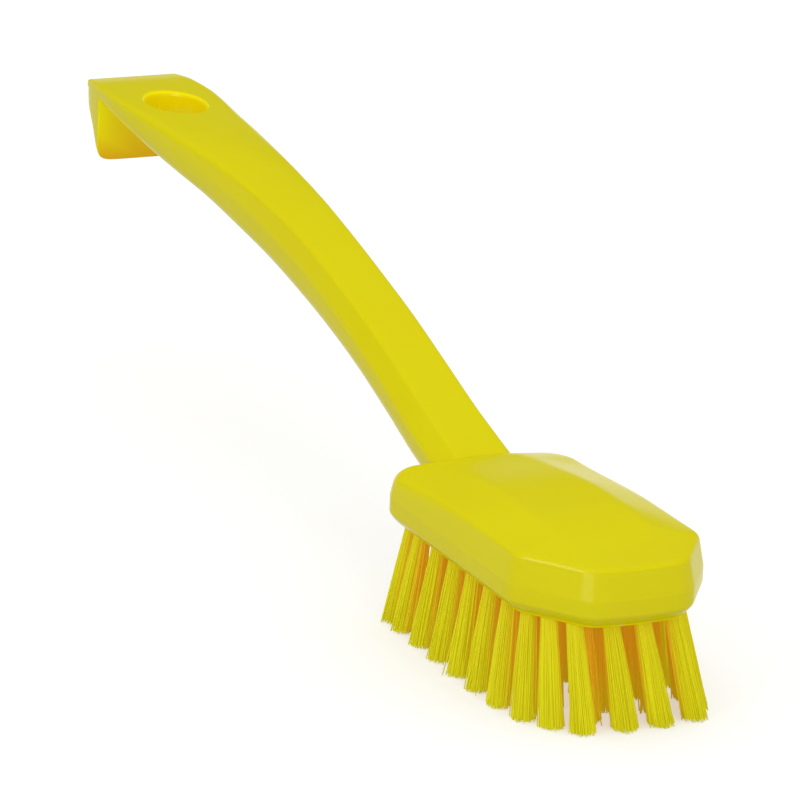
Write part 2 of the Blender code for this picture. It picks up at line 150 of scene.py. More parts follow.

# Painted glow and bounce light in the hanging hole, on the lip's inner face, under the handle beside it and
# under the block, standing in for light through the plastic: strengths, and the start and run of each smooth
# step
HOLE_GLOW, HOLE_GLOW_STEP, HOLE_GLOW_POWER = 0.76, (1.32, -0.3), 4
LIP_GLOW, LIP_DROP_STEP, LIP_FACE_STEP, LIP_TURN_STEP = 0.6, (0.013, -0.012), (0.0012, -0.0008), (0.2, 0.5)
BELLY_GLOW, BELLY_STEP, BESIDE_LIP_STEP, BELLY_TURN_STEP = 0.8, (0.075, -0.05), (0.0, 0.002), (0.2, 0.6)
BASE_GLOW, BASE_GLOW_STEP = 0.9, (0.0012, -0.001)

# Sockets of a mix node that mixes colours, and of one that mixes numbers
COLOUR_A, COLOUR_B, COLOUR_OUT = 6, 7, 2
NUMBER_A, NUMBER_B, NUMBER_OUT = 2, 3, 0
# How far the tone of the plastic and of the filaments moves in red, green and blue
PLASTIC_TONE, FILAMENT_TONE = (1.0, 0.965, 0.9), (0.94, 0.91, 0.85)

# The bends past which an edge stays sharp, the first tuft's seed and the fewest faces a moulding can have
MOULDING_BEND, FILAMENT_BEND, FIRST_SEED, FEWEST_FACES = math.radians(32), math.radians(80), 500, 1000
FLOOR_REACH, SENSOR_WIDTH, NEAREST_SEEN, FURTHEST_SEEN = 3.0, 36.0, 0.05, 20.0
# Each lamp's name, place, aim, width and height, the power it takes and its share of that power
LAMPS = (
    ("key_lamp", (0.875, -1.457, 0.60), (0.10, 0.0, 0.05), (0.40, 0.90), "key_power", 1.0),
    ("front_lamp", (1.96, -0.40, 0.75), (0.10, 0.0, 0.05), (0.9, 0.6), "front_power", 1.0),
    ("corner_card", (1.12, -1.31, 0.40), (0.20, 0.0, 0.40), (1.05, 0.86), "card_power", 0.6),
    ("rim_card", (0.25, -1.23, 0.91), (0.20, 0.0, 0.05), (0.70, 1.00), "card_power", 1.0),
    ("top_lamp", (0.10, -0.10, 1.35), (0.10, 0.0, 0.05), (1.2, 0.9), "top_power", 1.0),
)
# The camera's right, up and back, in its columns
CAMERA_TURN = ((0.41364, -0.28446, 0.86486), (0.90964, 0.08939, -0.40566), (0.03808, 0.95451, 0.29573))


def length(name, description, value):
    """A length in metres that the sidebar shows."""
    return bpy.props.FloatProperty(
        name=name, description=description, default=value, min=0.0, precision=5, unit="LENGTH"
    )


def share(name, description, value, low=0.0, high=1.0):
    """A plain number that the sidebar shows."""
    return bpy.props.FloatProperty(name=name, description=description, default=value, min=low, max=high)


def colour(name, description, value):
    """A colour that the sidebar shows."""
    return bpy.props.FloatVectorProperty(
        name=name, description=description, default=value, size=3, min=0.0, max=1.0, subtype="COLOR"
    )


class MouldingSizes(bpy.types.PropertyGroup):
    """Sizes and colours of the block and the handle."""

    block_length: length("Block length", "Length from nose to rear", 0.1205)
    block_width: length("Block width", "Width of the block", 0.065)
    block_edge_height: length("Edge height", "Height at the rim", 0.0185)
    block_crown: length("Block crown", "Rise of the ridge over the rim", 0.0042)
    nose_width: length("Nose width", "Width before its corners are rounded", 0.0336)
    nose_bulge: length("Nose bulge", "How far its middle stands out", 0.0016)
    rear_bulge: length("Rear bulge", "How far its middle stands out", 0.0026)
    nose_taper: length("Nose taper", "Run of the narrowing to the nose", 0.0222)
    nose_radius: length("Nose corner", "Radius of the nose's corners", 0.0085)
    shoulder_radius: length("Shoulder corner", "Radius where the taper meets the side", 0.012)
    rear_radius: length("Rear corner", "Radius of the rear corners", 0.0108)
    rear_rim_radius: length("Rear rim corner", "Radius of the rear corners at the rim", 0.0112)
    ridge_radius: length("Ridge corner", "Radius of the ridge's rear corners", 0.006)
    ridge_inset: length("Ridge inset", "Distance of the ridge from the rim", 0.0145)
    ridge_rounding: length("Ridge rounding", "Reach of the rounding along the ridge", 0.0030)
    crown_run: length("Crown run", "Run of the rise behind the nose", 0.050)
    rear_crown_run: length("Rear crown run", "Run of the rise before the rear", 0.055)
    chamfer_inset: length("Chamfer inset", "How far the lower edge is cut back", 0.0039)
    chamfer_height: length("Chamfer height", "Height of the cut-back lower edge", 0.0044)
    parting_height: length("Parting height", "Height of the parting line on the wall", 0.0092)
    rim_inset: length("Rim inset", "Draft of the wall up to the rim", 0.0025)
    rim_rounding: length("Rim rounding", "Rounding of the rim at the nose", 0.0008)
    rear_rim_inset: length("Rear rim inset", "Inset of the wide rounding at the rear", 0.0027)
    rear_rim_drop: length("Rear rim drop", "Drop of the wide rounding at the rear", 0.0056)
    eye_width: length("Eye width", "Width of the handle's flat end", 0.0402)
    handle_depth: length("Handle depth", "Greatest depth of the handle", 0.024)
    handle_flare: length("Handle flare", "Spread of the flanks under the top", 0.005)
    handle_crown: length("Handle crown", "Rise of the top across its width", 0.0015)
    root_top: length("Root top", "Height of the top where it leaves the block", 0.0497)
    root_rounding: length("Root edge", "Rounding of the edges at the block", 0.0005)
    grip_rounding: length("Grip edge", "Rounding of the edges on the upper half", 0.0018)
    eye_rounding: length("Eye edge", "Rounding of the edges at the end", 0.0007)
    end_rounding: length("End rounding", "Rounding of the end and the lip", 0.0010)
    lip_length: length("Lip length", "Length of the lip along the brush", 0.0162)
    lip_drop: length("Lip drop", "Height from its edge to the top", 0.0274)
    hole_length: length("Hole length", "Length of the hanging hole", 0.0312)
    hole_width: length("Hole width", "Width of the hanging hole", 0.0202)
    hole_from_end: length("Hole from end", "Distance of its middle from the end", 0.043)
    hole_rounding: length("Hole rounding", "Rounding of the hole's edges", 0.0020)
    # The painted glow: an emission and a shift of the base colour that stand in for light through the plastic
    # and light bounced between its walls
    glow: share("Glow", "Strength of the light through thin walls", 0.26)
    colour: colour("Plastic", "Colour of the moulded plastic", (0.71, 0.645, 0.006))
    warm_colour: colour("Warm plastic", "Colour where light comes through the plastic", (0.72, 0.655, 0.0))
    deep_colour: colour("Deep plastic", "Colour where it has come the furthest", (0.62, 0.36, 0.002))


class BristleSizes(bpy.types.PropertyGroup):
    """Sizes and colours of the bristle."""

    free_length: length("Free length", "Length of bristle under the block", 0.034)
    hole_diameter: length("Hole diameter", "Diameter of the tufts' holes", 0.005)
    hole_depth: length("Hole depth", "Depth of the tufts' holes", 0.0115)
    filament_diameter: length("Filament", "Diameter of one filament", 0.00042)
    filaments: bpy.props.IntProperty(name="Filaments", description="Filaments in each tuft", default=200, min=1)
    root_radius: length("Root radius", "Radius of a tuft at the block", 0.0025)
    tip_radius: length("Tip radius", "Radius of a tuft at its tips", 0.0041)
    edge_inset: length("Edge inset", "Distance of the outer tufts from the block's edge", 0.008)
    nose_start: length("Nose start", "Distance of the first tuft from the nose", 0.0115)
    rear_start: length("Rear start", "Distance of the last tuft from the rear", 0.009)
    fan_along: share("Fan along", "Spread of the tips along the brush", 0.10)
    fan_across: share("Fan across", "Spread of the tips across the brush", 0.14)
    nose_sweep: length("Nose sweep", "Sideways set of the tips at the nose", 0.0078)
    nose_sweep_run: length("Sweep run", "Run over which that set dies out", 0.035)
    raggedness: length("Raggedness", "Spread of the filaments' lengths", 0.0007)
    stray: length("Stray", "How far a stray filament leaves its tuft", 0.0013)
    colour: colour("Filament", "Colour of the filaments", (0.69, 0.655, 0.010))
    # Painted shade and bounce light deep in the tufts, and a painted glow over every filament
    deep_colour: colour("Deep filament", "Colour of the filaments inside a tuft", (0.78, 0.48, 0.018))
    glow: share("Glow", "Strength of the light through the filaments", 0.22)


class StudioSizes(bpy.types.PropertyGroup):
    """Camera, floor and lamps."""

    camera_place: bpy.props.FloatVectorProperty(
        name="Camera", description="Where the camera stands", default=(1.3886, -0.6358, 0.5160),
        size=3, precision=4, subtype="XYZ", unit="LENGTH",
    )
    lens: share("Lens", "Focal length in millimetres", 217.84, 1.0, 1000.0)
    floor_colour: colour("Floor", "Colour of the floor", (0.60, 0.60, 0.60))
    floor_lift: share("Floor lift", "Light added to the floor where it is looked at", 0.46)
    surround: share("Surround", "Strength of the light from all round", 0.87, 0.0, 2.0)
    horizon: share("Horizon", "Strength of the horizon in the gloss", 0.90, 0.0, 2.0)
    sky: share("Sky", "Strength of the sky in the gloss", 0.06, 0.0, 2.0)
    key_power: share("Key power", "Power of the soft box beside the nose, in watts", 2.6, 0.0, 500.0)
    card_power: share("Card power", "Power of the cards that only gloss shows, in watts", 18.0, 0.0, 500.0)
    front_power: share("Front power", "Power of the soft box at the nose, in watts", 3.6, 0.0, 500.0)
    top_power: share("Top power", "Power of the soft box overhead, in watts", 2.0, 0.0, 500.0)


def ease(t):
    """Smooth step: 3 t squared minus 2 t cubed, with t held between 0 and 1."""
    t = np.clip(t, 0.0, 1.0)
    return t * t * (3 - 2 * t)


def step(value, start, run):
    """Smooth step that is 0 at the start and 1 once the run is over, which may lead down."""
    return ease((value - start) / run)


def smooth_between(places, values, wanted):
    """Cubic Hermite curve through the values, its slopes taken from their neighbours."""
    slopes = np.gradient(values, places)
    index = np.clip(np.searchsorted(places, wanted, side="right") - 1, 0, len(places) - 2)
    span = places[index + 1] - places[index]
    t = (wanted - places[index]) / span
    return (
        (2 * t**3 - 3 * t**2 + 1) * values[index]
        + (t**3 - 2 * t**2 + t) * span * slopes[index]
        + (3 * t**2 - 2 * t**3) * values[index + 1]
        + (t**3 - t**2) * span * slopes[index + 1]
    )


def handle_share(column, along):
    """A column of the handle's table as a smooth curve, read at those shares of its run."""
    return smooth_between(HANDLE_SHARES[:, 0], HANDLE_SHARES[:, column], along)


def arc(before, corner, after, radius, steps):
    """Circle of the given radius that touches both lines from the corner, turned from one to the other."""
    to_before = (before - corner) / np.linalg.norm(before - corner)
    to_after = (after - corner) / np.linalg.norm(after - corner)
    half_angle = math.acos(float(np.clip(to_before @ to_after, -1.0, 1.0))) / 2
    middle = to_before + to_after
    centre = corner + middle / np.linalg.norm(middle) * radius / math.sin(half_angle)
    first = corner + to_before * radius / math.tan(half_angle) - centre
    last = corner + to_after * radius / math.tan(half_angle) - centre
    turn = math.atan2(first[0] * last[1] - first[1] * last[0], float(first @ last))
    angle = turn * np.linspace(0.0, 1.0, steps + 1)
    cos, sin = np.cos(angle), np.sin(angle)
    return centre + np.stack((first[0] * cos - first[1] * sin, first[0] * sin + first[1] * cos), axis=1)


def straight(start, end, steps):
    """Points strictly between two others, evenly spaced."""
    t = np.linspace(0.0, 1.0, steps + 1)[1:-1, None]
    return start + (end - start) * t


def block_outline(m, inset, rear_radius=None):
    """The block's outline from above, moved in by the inset: an octagon, its corners arcs, its ends bowed.

    The bow grows with the square of the distance from the middle line, and a smooth step ends it on the sides.
    """
    rear = NOSE_X - m.block_length
    half = m.block_width / 2
    taper = math.atan2(half - m.nose_width / 2, m.nose_taper)
    nose_corner = np.array((NOSE_X - inset, m.nose_width / 2 - inset * math.tan((math.pi / 2 - taper) / 2)))
    shoulder = np.array((NOSE_X - m.nose_taper - inset * math.tan(taper / 2), half - inset))
    rear_corner = np.array((rear + inset, half - inset))
    path = [np.array((NOSE_X - inset, 0.0)), nose_corner, shoulder, rear_corner, np.array((rear + inset, 0.0))]
    radii = (m.nose_radius, m.shoulder_radius, rear_radius or m.rear_radius)
    arcs = [
        arc(path[i], path[i + 1], path[i + 2], max(radii[i] - inset, SMALLEST_RADIUS), steps)
        for i, steps in enumerate(ARC_STEPS)
    ]
    parts = [straight(path[0], arcs[0][0], NOSE_STEPS)]
    for bend, end, steps in zip(arcs, (arcs[1][0], arcs[2][0], path[-1]), STRAIGHT_STEPS):
        parts += [bend, straight(bend[-1], end, steps)]
    ring = np.concatenate(parts)
    ahead = (ring[:, 0] - (NOSE_X - m.block_length / 2)) / (m.block_length / BOW_PART)
    ring[:, 0] -= m.nose_bulge * np.minimum(ring[:, 1] / nose_corner[1], 1.0) ** 2 * ease(ahead)
    ring[:, 0] += m.rear_bulge * (ring[:, 1] / rear_corner[1]) ** 2 * ease(-ahead)
    return np.concatenate((ring, ring[::-1] * (1, -1)))


def crown(m, x):
    """Height of the ridge over the rim: two smooth steps, one behind the nose and one before the rear."""
    rear = NOSE_X - m.block_length
    at_rear = REAR_CROWN_SHARE + (1 - REAR_CROWN_SHARE) * ease((x - rear) / m.rear_crown_run)
    return m.block_crown * ease((NOSE_X - x) / m.crown_run) * at_rear


def rear_share(x):
    """How far a place has turned from the nose's tight rim to the rear's wide one: a smooth step."""
    return step(NOSE_X - x, *RIM_TURN)


def wall_ring(m, nose, rear):
    """A ring of the wall: the outline at the nose's inset and height, turned into the rear's.

    The nose and the rear each give an inset, a height and the radius of the rear corners.
    """
    start, end = block_outline(m, nose[0]), block_outline(m, rear[0], rear[2])
    turned = rear_share(start[:, 0])[:, None]
    across = start + (end - start) * turned
    return np.concatenate((across, nose[1] + (rear[1] - nose[1]) * turned), axis=1)


def ridge_ring(m, inset):
    """A ring on the block's top: the outline moved in, narrowed at the rear, at the crown's height."""
    ring = block_outline(m, inset, m.ridge_radius + inset)
    turned = rear_share(ring[:, 0])
    x = ring[:, 0] - RIDGE_REACH * turned
    y = ring[:, 1] * (1 - RIDGE_NARROWING * turned)
    return np.stack((x, y, BOTTOM_Z + m.block_edge_height + crown(m, x)), axis=1)


def rounded_rows(rings, reaches, steps=6, plain=3):
    """Rows of points from ring to ring, each inner ring rounded by a quadratic curve of the given reach.

    The curve starts and ends at the reach before and after the ring, and the ring is its middle control point.
    """
    rows = [rings[0]]
    left = rings[0]
    for ring, before, after, reach in zip(rings[1:-1], rings, rings[2:], reaches):
        back, ahead = before - ring, after - ring
        back_length = np.linalg.norm(back, axis=1, keepdims=True)
        ahead_length = np.linalg.norm(ahead, axis=1, keepdims=True)
        used = np.minimum(reach, MOST_REACH_SHARE * np.minimum(back_length, ahead_length))
        start, end = ring + back / back_length * used, ring + ahead / ahead_length * used
        rows += [left + (start - left) * t for t in np.linspace(0, 1, plain + 1)[1:-1]]
        bend = np.linspace(0, 1, steps + 1)
        rows += [(1 - t) ** 2 * start + 2 * t * (1 - t) * ring + t * t * end for t in bend]
        left = end
    rows += [left + (rings[-1] - left) * t for t in np.linspace(0, 1, plain + 1)[1:-1]]
    return np.array(rows + [rings[-1]])


def skin(rows, strip=False):
    """Vertices and faces of a closed skin over rows of equally many points.

    A flat face closes each end. A strip joins each point of the last row to its mirror image across Y = 0.
    """
    number, around = rows.shape[:2]
    index = np.arange(number * around).reshape(number, around)
    turned = np.roll(index, -1, axis=1)
    quads = np.stack((index[:-1], turned[:-1], turned[1:], index[1:]), axis=-1).reshape(-1, 4)
    faces = quads.tolist() + [index[0][::-1].tolist()]
    last = index[-1]
    if strip:
        near, far = last[: around // 2], last[::-1][: around // 2]
        faces += np.stack((near[:-1], near[1:], far[1:], far[:-1]), axis=1).tolist()
    else:
        faces.append(last.tolist())
    return rows.reshape(-1, 3), faces


def linked(name, data):
    """An object with that mesh, lamp or camera, put in the scene."""
    item = bpy.data.objects.new(name, data)
    bpy.context.scene.collection.objects.link(item)
    return item


def mesh_of(name, vertices, faces):
    """A mesh with those vertices and faces."""
    mesh = bpy.data.meshes.new(name)
    mesh.from_pydata(vertices.tolist(), [], faces)
    return mesh


def object_of(name, vertices, faces):
    """An object with that closed mesh, every face of it turned outwards."""
    mesh = mesh_of(name, vertices, faces)
    mesh.validate()
    bm = bmesh.new()
    bm.from_mesh(mesh)
    bmesh.ops.recalc_face_normals(bm, faces=bm.faces)
    bm.to_mesh(mesh)
    bm.free()
    return linked(name, mesh)


def block_form(m):
    """The block: chamfer, wall with a parting line, rim, facet and ridge, with roundings between them."""
    rim = BOTTOM_Z + m.block_edge_height
    rings = []
    for inset, height in CHAMFER_SHARES:
        level = (m.chamfer_inset * inset, BOTTOM_Z + m.chamfer_height * height, m.rear_radius)
        rings.append(wall_ring(m, level, level))
    parting = (0.0, BOTTOM_Z + m.parting_height, m.rear_radius)
    rings.append(wall_ring(m, parting, parting))
    for inwards, upwards, rear_inset, rear_drop in RIM_SHARES:
        nose = (m.rim_inset - m.rim_rounding * inwards, rim - m.rim_rounding * upwards)
        radius = m.rear_radius + (m.rear_rim_radius - m.rear_radius) * rear_inset
        rear = (m.rear_rim_inset * rear_inset, rim - m.rear_rim_drop * rear_drop, radius)
        rings.append(wall_ring(m, nose, rear))
    ridge = m.rim_inset + m.ridge_inset
    rings += [ridge_ring(m, ridge), ridge_ring(m, ridge + RIDGE_FLAT)]
    reaches = [FULL_REACH] * (len(CHAMFER_SHARES) - 1) + [PARTING_REACH]
    reaches += [FULL_REACH] * len(RIM_SHARES) + [m.ridge_rounding]
    return object_of("block_form", *skin(rounded_rows(rings, reaches), strip=True))


def section_rings(x, half_width, top, depth, flare, rise, roundness, rounding):
    """Sections across the handle, one row for each x, evenly spaced round and with blurred corners.

    The top is a parabola between two edges, the flank a straight line out to the shoulder, and the belly a
    quarter of a superellipse with the given roundness. The blur is a bell curve of the rounding's width.
    """
    t = np.linspace(0.0, 1.0, TOP_POINTS)
    side = np.linspace(0.0, 1.0, FLANK_POINTS)[1:]
    angle = np.linspace(0.0, math.pi / 2, BELLY_POINTS)[1:]
    half, top, depth, flare, rise, power = (
        np.asarray(v, float)[:, None] for v in (half_width, top, depth, flare, rise, 2 / roundness)
    )
    shoulder = depth * SHOULDER_SHARE
    belly_across = (half + flare) * np.cos(angle).clip(0) ** power
    belly_height = top - shoulder - (depth - shoulder) * np.sin(angle) ** power
    across = np.concatenate((half * t, half + flare * side, belly_across), axis=1)
    height = np.concatenate((top + rise * (1 - t**2), top - shoulder * side, belly_height), axis=1)
    across[:, -1] = 0.0
    loop = across + 1j * height
    loop = np.concatenate((loop, -loop.conj()[:, -2:0:-1], loop[:, :1]), axis=1)
    run = np.cumsum(np.abs(np.diff(loop, axis=1, prepend=loop[:, :1])), axis=1)
    even = np.array(
        [np.interp(np.linspace(0, r[-1], FINE_POINTS, endpoint=False), r, row) for r, row in zip(run, loop)]
    )
    wave = np.fft.fftfreq(FINE_POINTS, 1 / FINE_POINTS)
    blur = np.exp(-((2 * math.pi * wave * np.asarray(rounding)[:, None] / run[:, -1:]) ** 2) / 2)
    even = resample(np.fft.ifft(np.fft.fft(even, axis=1) * blur, axis=1), SECTION_SIDES)
    return np.stack((np.broadcast_to(np.asarray(x)[:, None], even.shape), even.real, even.imag), axis=-1)


def resample(loops, around):
    """Closed loops of complex points read at fewer, evenly spaced places."""
    fine = loops.shape[1]
    place = np.arange(around) * fine / around
    low = np.floor(place).astype(int)
    part = place - low
    return loops[:, low] * (1 - part) + loops[:, (low + 1) % fine] * part


def rounded_end(ring, towards, radius, steps=6):
    """Rows that close a section with a quarter-round edge: it moves in by the rounding as x runs out."""
    ahead = np.roll(ring, -1, axis=0) - np.roll(ring, 1, axis=0)
    inwards = np.stack((np.zeros(len(ring)), -ahead[:, 2], ahead[:, 1]), axis=1)
    inwards /= np.linalg.norm(inwards, axis=1, keepdims=True)
    middle = ring.mean(axis=0)
    if ((middle - ring) * inwards).sum() < 0:
        inwards = -inwards
    rows = []
    for angle in np.linspace(0, math.pi / 2, steps + 1)[1:]:
        ahead = (towards * radius * math.sin(angle), 0, 0)
        rows.append(ring + inwards * radius * (1 - math.cos(angle)) + ahead)
    return rows


def handle_form(m):
    """The handle: sections carried along its arch, from inside the block to its rounded end."""
    root = NOSE_X - m.block_length + ROOT_INSET
    along = np.linspace(0.0, 1.0, HANDLE_SECTIONS)
    width, rise, depth, flare, top_crown = (handle_share(column, along) for column in range(1, 6))
    x = root - (root - END_X - m.end_rounding) * along
    rings = section_rings(
        x,
        m.eye_width / 2 * width,
        m.root_top + (TOP_Z - m.root_top) * rise,
        m.handle_depth * depth,
        m.handle_flare * flare,
        m.handle_crown * top_crown,
        ROOT_ROUNDNESS + ADDED_ROUNDNESS * along**2,
        m.root_rounding
        + (m.grip_rounding - m.root_rounding) * step(along, *GRIP_TURN)
        + (m.eye_rounding - m.grip_rounding) * step(along, *EYE_TURN),
    )
    rows = list(rings) + rounded_end(rings[-1], -1, m.end_rounding)
    return object_of("handle_form", *skin(np.array(rows)))


def lip_form(m):
    """The lip: an upright inner face, flat sides and an outer face that slopes in to the lip's edge."""
    root = NOSE_X - m.block_length + ROOT_INSET
    inner = END_X + m.lip_length
    along = np.linspace(0.0, 1.0, LIP_SECTIONS)
    drop = np.interp(along, LIP_SHARES[:, 0], LIP_SHARES[:, 1])
    width = np.interp(along, LIP_SHARES[:, 0], LIP_SHARES[:, 2])
    drop = np.convolve(np.pad(drop, LIP_BLUR // 2, mode="edge"), np.ones(LIP_BLUR) / LIP_BLUR, mode="valid")
    r = m.end_rounding * LIP_ROUNDING_SHARE
    x = inner - r + (END_X + LIP_END_INSET + r - inner + r) * along
    on_handle = handle_share(1, (root - x) / (root - END_X - m.end_rounding))
    half = (m.eye_width / 2 * on_handle - LIP_SIDE_INSET) * width
    flat = np.zeros(len(along))
    top, depth = flat + TOP_Z - LIP_SEAT, m.lip_drop * drop - LIP_SEAT
    rings = section_rings(x, half, top, depth, flat, flat, flat + LIP_ROUNDNESS, flat + LIP_CORNER)
    rows = rounded_end(rings[0], 1, r)[::-1] + list(rings) + rounded_end(rings[-1], -1, r)
    return object_of("lip_form", *skin(np.array(rows)))


def hole_form(m):
    """Cutter for the hanging hole: an oval shaft whose upper end opens in a quarter round."""
    r = m.hole_rounding
    angle = np.linspace(ROUNDING_START, math.pi / 2, ROUNDING_ROWS)
    heights = np.r_[TOP_Z + CUT_OVERRUN, TOP_Z - r + r * np.cos(angle), TOP_Z - HOLE_CUT_DEPTH][:, None]
    grows = np.r_[r + CUT_OVERRUN, r - r * np.sin(angle), 0.0][:, None]
    turn = np.linspace(0, 2 * math.pi, HOLE_SIDES, endpoint=False)
    x = END_X + m.hole_from_end + (m.hole_length / 2 + grows) * np.cos(turn)
    y = (m.hole_width / 2 + grows) * np.sin(turn)
    rows = np.stack((x, y, np.broadcast_to(heights, x.shape)), axis=-1)
    return object_of("hole_form", *skin(rows))


def tuft_places(m, b):
    """Places of the tufts' roots on the underside, one row of X and Y each, from the nose back."""
    first = NOSE_X - b.nose_start
    pitches = max(behind + count - 1 for _, behind, count in TUFT_ROW_SHARES)
    pitch = (m.block_length - b.nose_start - b.rear_start) / pitches
    half = m.block_width / 2 - b.edge_inset
    places = []
    for across, behind, count in TUFT_ROW_SHARES:
        for side in (-1, 1) if across else (1,):
            places += [(first - (behind + i) * pitch, side * across * half) for i in range(count)]
    places.sort(key=lambda place: (-round(place[0], 6), place[1]))
    return np.array(places)


def tuft_leans(m, b, places):
    """Shift of each tuft's tips from its root: along and across the brush in proportion to its place."""
    along = (places[:, 0] - (NOSE_X - m.block_length / 2)) * b.fan_along
    sweep = b.nose_sweep * np.maximum(1 - (NOSE_X - places[:, 0]) / b.nose_sweep_run, 0.0)
    return np.stack((along, places[:, 1] * b.fan_across + sweep), axis=1)


def outward_directions(m, b, places):
    """Direction in which each tuft of the outer ring faces out of the brush, and zero for every other tuft.

    It leads away from the nearest point of a spine along the brush's middle. A tuft is in the ring where it
    stands far enough from the plane Y = 0 or from that point.
    """
    rear = NOSE_X - m.block_length
    reach = m.block_width / 2 - b.edge_inset
    spine = np.clip(places[:, 0], rear + SPINE_INSET_SHARE * reach, NOSE_X - SPINE_INSET_SHARE * reach)
    away = places - np.stack((spine, np.zeros(len(places))), axis=1)
    distance = np.linalg.norm(away, axis=1)
    ring = (np.abs(places[:, 1]) > RING_SIDE_SHARE * reach) | (distance > RING_END_SHARE * reach)
    away /= np.maximum(distance, 1e-9)[:, None]
    return away * ring[:, None]


def tuft_hole_form(m, b):
    """Cutter for the blind holes: round shafts that lean as their tufts do, a little wider at the mouth."""
    places = tuft_places(m, b)
    leans = tuft_leans(m, b, places) / b.free_length
    turn = np.linspace(0, 2 * math.pi, TUFT_HOLE_SIDES, endpoint=False)
    circle = np.stack((np.cos(turn), np.sin(turn)), axis=1)
    shaft = tuple((depth, b.hole_diameter / 2) for depth in (TUFT_MOUTH_DEPTH, b.hole_depth))
    vertices, faces = [], []
    for place, lean in zip(places, leans):
        rows = []
        for height, radius in TUFT_MOUTH + shaft:
            flat = place - lean * height + circle * radius
            rows.append(np.concatenate((flat, np.full((len(circle), 1), BOTTOM_Z + height)), axis=1))
        points, quads = skin(np.array(rows))
        faces += [[v + len(vertices) * len(points) for v in quad] for quad in quads]
        vertices.append(points)
    return object_of("tuft_hole_form", np.concatenate(vertices), faces)


def joined(name, base, steps):
    """The base with the other forms joined to it or cut from it, as a new mesh; the forms are removed."""
    for operation, other in steps:
        modifier = base.modifiers.new(operation.lower(), "BOOLEAN")
        modifier.operation, modifier.solver, modifier.object = operation, "EXACT", other
    graph = bpy.context.evaluated_depsgraph_get()
    mesh = bpy.data.meshes.new_from_object(base.evaluated_get(graph))
    for item in [base] + [other for _, other in steps]:
        old = item.data
        bpy.data.objects.remove(item, do_unlink=True)
        bpy.data.meshes.remove(old)
    mesh.name = name
    return linked(name, mesh)


def shade(item, angle):
    """Smooth faces, with a sharp edge wherever two of them meet at more than the angle."""
    mesh = item.data
    mesh.polygons.foreach_set("use_smooth", np.ones(len(mesh.polygons), dtype=bool))
    mesh.set_sharp_from_angle(angle=angle)


def new_group(name, output, **inputs):
    """A shader node group with a vector input, those numbers as further inputs, and one number as output."""
    tree = bpy.data.node_groups.new(name, "ShaderNodeTree")
    tree.interface.new_socket(name="Vector", in_out="INPUT", socket_type="NodeSocketVector")
    for label, value in inputs.items():
        label = label.replace("_", " ")
        socket = tree.interface.new_socket(name=label, in_out="INPUT", socket_type="NodeSocketFloat")
        socket.default_value = value
    tree.interface.new_socket(name=output, in_out="OUTPUT", socket_type="NodeSocketFloat")
    return tree, tree.nodes.new("NodeGroupInput"), tree.nodes.new("NodeGroupOutput")


def node(tree, kind, **values):
    """A shader node of that kind with its settings and the values of its sockets."""
    made = tree.nodes.new("ShaderNode" + kind)
    for name, value in values.items():
        if hasattr(made, name):
            setattr(made, name, value)
        else:
            made.inputs[name.replace("_", " ")].default_value = value
    return made


def wire(tree, *links):
    """Links between nodes, each given as a node and its output, then a node and its input."""
    for start, output, end, entry in links:
        tree.links.new(start.outputs[output], end.inputs[entry])


def plastic_drift():
    """Soft patches from 0 to 1: noise of the given scale, stretched about its middle."""
    tree, entry, exit_ = new_group("plastic_drift", "Patches", Scale=60.0, Stretch=1.4)
    noise = node(tree, "TexNoise", Detail=3.0, Roughness=0.55)
    away = node(tree, "Math", operation="SUBTRACT")
    wide = node(tree, "Math", operation="MULTIPLY_ADD", use_clamp=True)
    away.inputs[1].default_value = wide.inputs[2].default_value = 0.5
    wire(
        tree,
        (entry, "Vector", noise, "Vector"),
        (entry, "Scale", noise, "Scale"),
        (noise, "Fac", away, 0),
        (away, 0, wide, 0),
        (entry, "Stretch", wide, 1),
        (wide, 0, exit_, "Patches"),
    )
    return tree


def moulded_grain():
    """Height of a moulded skin from 0 to 1: fine noise for the grain and coarse noise for the slight flow."""
    tree, entry, exit_ = new_group("moulded_grain", "Height", Fine_Scale=1500.0, Flow_Scale=120.0, Flow=0.7)
    fine = node(tree, "TexNoise", Detail=2.0)
    flow = node(tree, "TexNoise", Detail=1.0)
    mix = node(tree, "Mix", data_type="FLOAT")
    wire(
        tree,
        (entry, "Vector", fine, "Vector"),
        (entry, "Vector", flow, "Vector"),
        (entry, "Fine Scale", fine, "Scale"),
        (entry, "Flow Scale", flow, "Scale"),
        (entry, "Flow", mix, "Factor"),
        (fine, "Fac", mix, NUMBER_A),
        (flow, "Fac", mix, NUMBER_B),
        (mix, NUMBER_OUT, exit_, "Height"),
    )
    return tree


def placed(tree, group, **values):
    """A node group, built when it is first wanted, placed in a material with its own values."""
    ready = bpy.data.node_groups.get(group.__name__) or group()
    return node(tree, "Group", node_tree=ready, **values)


def colour_mix(tree, low, high):
    """A mix node between two colours; the factor comes from a link."""
    mix = node(tree, "Mix", data_type="RGBA")
    mix.inputs[COLOUR_A].default_value = (*low, 1.0)
    mix.inputs[COLOUR_B].default_value = (*high, 1.0)
    return mix


def ranged(tree, low, high):
    """A map from 0 to 1 onto another range."""
    return node(tree, "MapRange", To_Min=low, To_Max=high)


def new_material(name, tint, **values):
    """A material of that name, its node tree and its shader with those values; the tint is its plain colour."""
    material = bpy.data.materials.new(name)
    material.use_nodes = True
    material.diffuse_color = (*tint, 1.0)
    shader = material.node_tree.nodes["Principled BSDF"]
    for label, value in values.items():
        shader.inputs[label.replace("_", " ")].default_value = value
    return material, material.node_tree, shader


